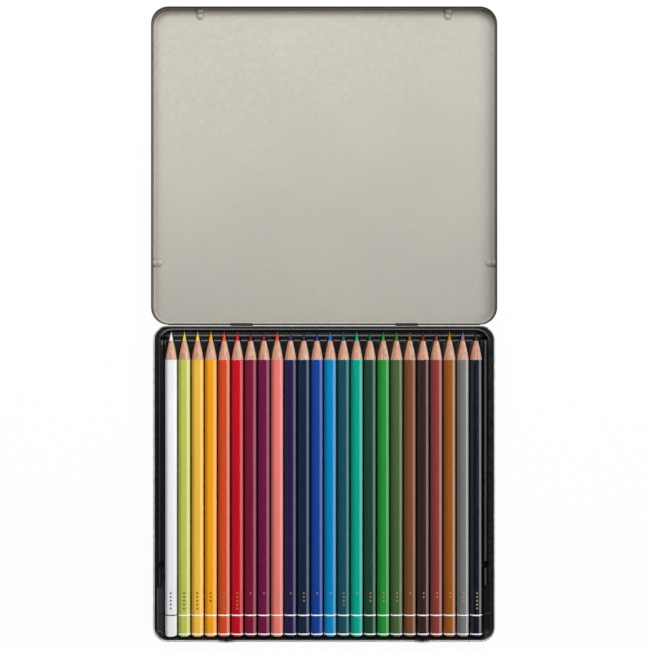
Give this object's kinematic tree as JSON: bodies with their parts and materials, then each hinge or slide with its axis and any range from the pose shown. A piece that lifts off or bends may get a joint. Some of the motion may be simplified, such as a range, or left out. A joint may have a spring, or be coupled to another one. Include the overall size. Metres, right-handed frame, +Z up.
{
  "type": "colored pencil tin",
  "caption": "Flat hinged tin lying open, with a formed black insert that holds a row of sharpened colored pencils side by side.",
  "frame": {"origin": "centre of the tray's flat base", "axes": "+Z up, +Y from the tray towards the hinge and the open lid, +X to the right along the hinge"},
  "size_m": [0.199, 0.3648, 0.011],
  "materials": {
    "tray_sheet": "satin black outside, bare silver-grey on the rolled rim",
    "lid_sheet": "satin warm grey lacquer inside, dark outside",
    "insert_plastic": "glossy black, vacuum formed",
    "pencil_01_lacquer": "gloss white lacquer over bare sharpened wood",
    "pencil_01_core": "waxy white lead",
    "pencil_02_lacquer": "gloss lime lacquer over bare sharpened wood",
    "pencil_02_core": "waxy lime lead",
    "pencil_03_lacquer": "gloss maize lacquer over bare sharpened wood",
    "pencil_03_core": "waxy maize lead",
    "pencil_04_lacquer": "gloss golden yellow lacquer over bare sharpened wood",
    "pencil_04_core": "waxy golden yellow lead",
    "pencil_05_lacquer": "gloss orange lacquer over bare sharpened wood",
    "pencil_05_core": "waxy orange lead",
    "pencil_06_lacquer": "gloss red lacquer over bare sharpened wood",
    "pencil_06_core": "waxy red lead",
    "pencil_07_lacquer": "gloss burgundy lacquer over bare sharpened wood",
    "pencil_07_core": "waxy burgundy lead",
    "pencil_08_lacquer": "gloss purple lacquer over bare sharpened wood",
    "pencil_08_core": "waxy purple lead",
    "pencil_09_lacquer": "gloss coral lacquer over bare sharpened wood",
    "pencil_09_core": "waxy coral lead",
    "pencil_10_lacquer": "gloss dark violet lacquer over bare sharpened wood",
    "pencil_10_core": "waxy dark violet lead",
    "pencil_11_lacquer": "gloss navy lacquer over bare sharpened wood",
    "pencil_11_core": "waxy navy lead",
    "pencil_12_lacquer": "gloss cobalt blue lacquer over bare sharpened wood",
    "pencil_12_core": "waxy cobalt blue lead",
    "pencil_13_lacquer": "gloss light blue lacquer over bare sharpened wood",
    "pencil_13_core": "waxy light blue lead",
    "pencil_14_lacquer": "gloss dark teal lacquer over bare sharpened wood",
    "pencil_14_core": "waxy dark teal lead",
    "pencil_15_lacquer": "gloss turquoise lacquer over bare sharpened wood",
    "pencil_15_core": "waxy turquoise lead",
    "pencil_16_lacquer": "gloss dark green lacquer over bare sharpened wood",
    "pencil_16_core": "waxy dark green lead",
    "pencil_17_lacquer": "gloss green lacquer over bare sharpened wood",
    "pencil_17_core": "waxy green lead",
    "pencil_18_lacquer": "gloss olive green lacquer over bare sharpened wood",
    "pencil_18_core": "waxy olive green lead",
    "pencil_19_lacquer": "gloss brown lacquer over bare sharpened wood",
    "pencil_19_core": "waxy brown lead",
    "pencil_20_lacquer": "gloss dark brown lacquer over bare sharpened wood",
    "pencil_20_core": "waxy dark brown lead",
    "pencil_21_lacquer": "gloss red-brown lacquer over bare sharpened wood",
    "pencil_21_core": "waxy red-brown lead",
    "pencil_22_lacquer": "gloss ochre lacquer over bare sharpened wood",
    "pencil_22_core": "waxy ochre lead",
    "pencil_23_lacquer": "gloss grey lacquer over bare sharpened wood",
    "pencil_23_core": "waxy grey lead",
    "pencil_24_lacquer": "gloss black lacquer over bare sharpened wood",
    "pencil_24_core": "waxy black lead"
  },
  "bodies": {
    "tray": {"tray_shell": "tray_sheet"},
    "lid": {"lid_shell": "lid_sheet"},
    "insert": {"insert": "insert_plastic"},
    "pencil_01": {"pencil_01_casing": "pencil_01_lacquer", "pencil_01_lead": "pencil_01_core"},
    "pencil_02": {"pencil_02_casing": "pencil_02_lacquer", "pencil_02_lead": "pencil_02_core"},
    "pencil_03": {"pencil_03_casing": "pencil_03_lacquer", "pencil_03_lead": "pencil_03_core"},
    "pencil_04": {"pencil_04_casing": "pencil_04_lacquer", "pencil_04_lead": "pencil_04_core"},
    "pencil_05": {"pencil_05_casing": "pencil_05_lacquer", "pencil_05_lead": "pencil_05_core"},
    "pencil_06": {"pencil_06_casing": "pencil_06_lacquer", "pencil_06_lead": "pencil_06_core"},
    "pencil_07": {"pencil_07_casing": "pencil_07_lacquer", "pencil_07_lead": "pencil_07_core"},
    "pencil_08": {"pencil_08_casing": "pencil_08_lacquer", "pencil_08_lead": "pencil_08_core"},
    "pencil_09": {"pencil_09_casing": "pencil_09_lacquer", "pencil_09_lead": "pencil_09_core"},
    "pencil_10": {"pencil_10_casing": "pencil_10_lacquer", "pencil_10_lead": "pencil_10_core"},
    "pencil_11": {"pencil_11_casing": "pencil_11_lacquer", "pencil_11_lead": "pencil_11_core"},
    "pencil_12": {"pencil_12_casing": "pencil_12_lacquer", "pencil_12_lead": "pencil_12_core"},
    "pencil_13": {"pencil_13_casing": "pencil_13_lacquer", "pencil_13_lead": "pencil_13_core"},
    "pencil_14": {"pencil_14_casing": "pencil_14_lacquer", "pencil_14_lead": "pencil_14_core"},
    "pencil_15": {"pencil_15_casing": "pencil_15_lacquer", "pencil_15_lead": "pencil_15_core"},
    "pencil_16": {"pencil_16_casing": "pencil_16_lacquer", "pencil_16_lead": "pencil_16_core"},
    "pencil_17": {"pencil_17_casing": "pencil_17_lacquer", "pencil_17_lead": "pencil_17_core"},
    "pencil_18": {"pencil_18_casing": "pencil_18_lacquer", "pencil_18_lead": "pencil_18_core"},
    "pencil_19": {"pencil_19_casing": "pencil_19_lacquer", "pencil_19_lead": "pencil_19_core"},
    "pencil_20": {"pencil_20_casing": "pencil_20_lacquer", "pencil_20_lead": "pencil_20_core"},
    "pencil_21": {"pencil_21_casing": "pencil_21_lacquer", "pencil_21_lead": "pencil_21_core"},
    "pencil_22": {"pencil_22_casing": "pencil_22_lacquer", "pencil_22_lead": "pencil_22_core"},
    "pencil_23": {"pencil_23_casing": "pencil_23_lacquer", "pencil_23_lead": "pencil_23_core"},
    "pencil_24": {"pencil_24_casing": "pencil_24_lacquer", "pencil_24_lead": "pencil_24_core"}
  },
  "joints": [
    {"name": "lid_hinge", "type": "hinge", "parent": "tray", "child": "lid", "pos_m": [0, 0.09113, 0.007], "axis": [-1, 0, 0], "range_deg": [-180, 0]},
    {"name": "insert_lift", "type": "slide", "parent": "tray", "child": "insert", "axis": [0, 0, 1], "range_m": [0, 0.04]},
    {"name": "pencil_01_lift", "type": "slide", "parent": "insert", "child": "pencil_01", "axis": [0, 0, 1], "range_m": [0, 0.04]},
    {"name": "pencil_02_lift", "type": "slide", "parent": "insert", "child": "pencil_02", "axis": [0, 0, 1], "range_m": [0, 0.04]},
    {"name": "pencil_03_lift", "type": "slide", "parent": "insert", "child": "pencil_03", "axis": [0, 0, 1], "range_m": [0, 0.04]},
    {"name": "pencil_04_lift", "type": "slide", "parent": "insert", "child": "pencil_04", "axis": [0, 0, 1], "range_m": [0, 0.04]},
    {"name": "pencil_05_lift", "type": "slide", "parent": "insert", "child": "pencil_05", "axis": [0, 0, 1], "range_m": [0, 0.04]},
    {"name": "pencil_06_lift", "type": "slide", "parent": "insert", "child": "pencil_06", "axis": [0, 0, 1], "range_m": [0, 0.04]},
    {"name": "pencil_07_lift", "type": "slide", "parent": "insert", "child": "pencil_07", "axis": [0, 0, 1], "range_m": [0, 0.04]},
    {"name": "pencil_08_lift", "type": "slide", "parent": "insert", "child": "pencil_08", "axis": [0, 0, 1], "range_m": [0, 0.04]},
    {"name": "pencil_09_lift", "type": "slide", "parent": "insert", "child": "pencil_09", "axis": [0, 0, 1], "range_m": [0, 0.04]},
    {"name": "pencil_10_lift", "type": "slide", "parent": "insert", "child": "pencil_10", "axis": [0, 0, 1], "range_m": [0, 0.04]},
    {"name": "pencil_11_lift", "type": "slide", "parent": "insert", "child": "pencil_11", "axis": [0, 0, 1], "range_m": [0, 0.04]},
    {"name": "pencil_12_lift", "type": "slide", "parent": "insert", "child": "pencil_12", "axis": [0, 0, 1], "range_m": [0, 0.04]},
    {"name": "pencil_13_lift", "type": "slide", "parent": "insert", "child": "pencil_13", "axis": [0, 0, 1], "range_m": [0, 0.04]},
    {"name": "pencil_14_lift", "type": "slide", "parent": "insert", "child": "pencil_14", "axis": [0, 0, 1], "range_m": [0, 0.04]},
    {"name": "pencil_15_lift", "type": "slide", "parent": "insert", "child": "pencil_15", "axis": [0, 0, 1], "range_m": [0, 0.04]},
    {"name": "pencil_16_lift", "type": "slide", "parent": "insert", "child": "pencil_16", "axis": [0, 0, 1], "range_m": [0, 0.04]},
    {"name": "pencil_17_lift", "type": "slide", "parent": "insert", "child": "pencil_17", "axis": [0, 0, 1], "range_m": [0, 0.04]},
    {"name": "pencil_18_lift", "type": "slide", "parent": "insert", "child": "pencil_18", "axis": [0, 0, 1], "range_m": [0, 0.04]},
    {"name": "pencil_19_lift", "type": "slide", "parent": "insert", "child": "pencil_19", "axis": [0, 0, 1], "range_m": [0, 0.04]},
    {"name": "pencil_20_lift", "type": "slide", "parent": "insert", "child": "pencil_20", "axis": [0, 0, 1], "range_m": [0, 0.04]},
    {"name": "pencil_21_lift", "type": "slide", "parent": "insert", "child": "pencil_21", "axis": [0, 0, 1], "range_m": [0, 0.04]},
    {"name": "pencil_22_lift", "type": "slide", "parent": "insert", "child": "pencil_22", "axis": [0, 0, 1], "range_m": [0, 0.04]},
    {"name": "pencil_23_lift", "type": "slide", "parent": "insert", "child": "pencil_23", "axis": [0, 0, 1], "range_m": [0, 0.04]},
    {"name": "pencil_24_lift", "type": "slide", "parent": "insert", "child": "pencil_24", "axis": [0, 0, 1], "range_m": [0, 0.04]}
  ]
}
